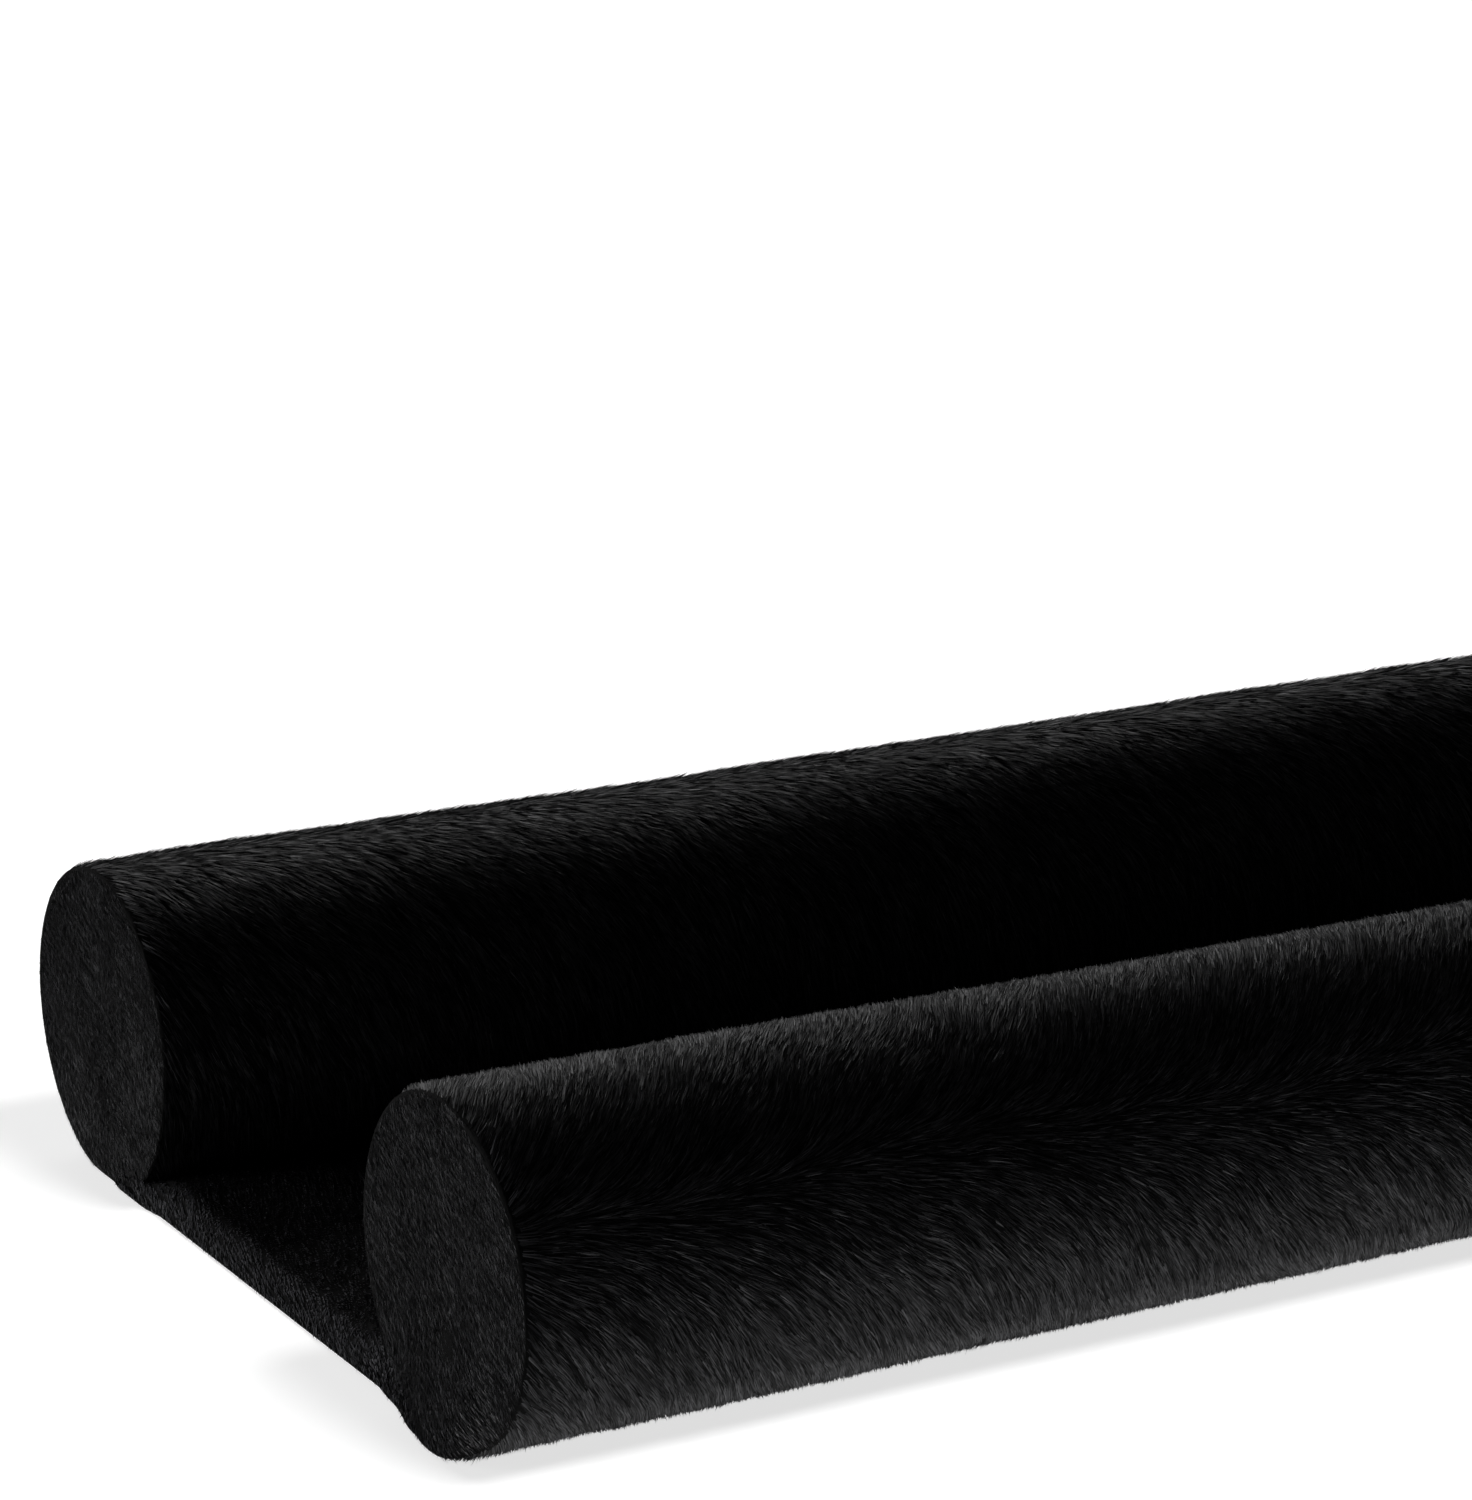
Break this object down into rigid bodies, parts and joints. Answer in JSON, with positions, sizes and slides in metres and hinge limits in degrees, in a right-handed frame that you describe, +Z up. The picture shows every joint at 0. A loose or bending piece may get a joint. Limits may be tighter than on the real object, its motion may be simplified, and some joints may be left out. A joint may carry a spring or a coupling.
{
  "type": "draught excluder",
  "caption": "Plush draught excluder for the foot of a door: a filled roll on each side, joined by a flat cloth web that slides underneath.",
  "frame": {"origin": "on the floor, under the middle of the web", "axes": "+X along the rolls, +Y from the front roll to the back roll, +Z up"},
  "size_m": [0.9, 0.139, 0.0406],
  "materials": {
    "roll_plush": "black short-pile plush, nap combed round the roll",
    "web_plush": "black short-pile plush, doubled",
    "end_plush": "black short-pile plush, nap combed down"
  },
  "bodies": {
    "root": {"front_roll": "roll_plush", "back_roll": "roll_plush", "web": "web_plush", "end_panel_front_left": "end_plush", "end_panel_front_right": "end_plush", "end_panel_back_left": "end_plush", "end_panel_back_right": "end_plush"}
  },
  "joints": []
}
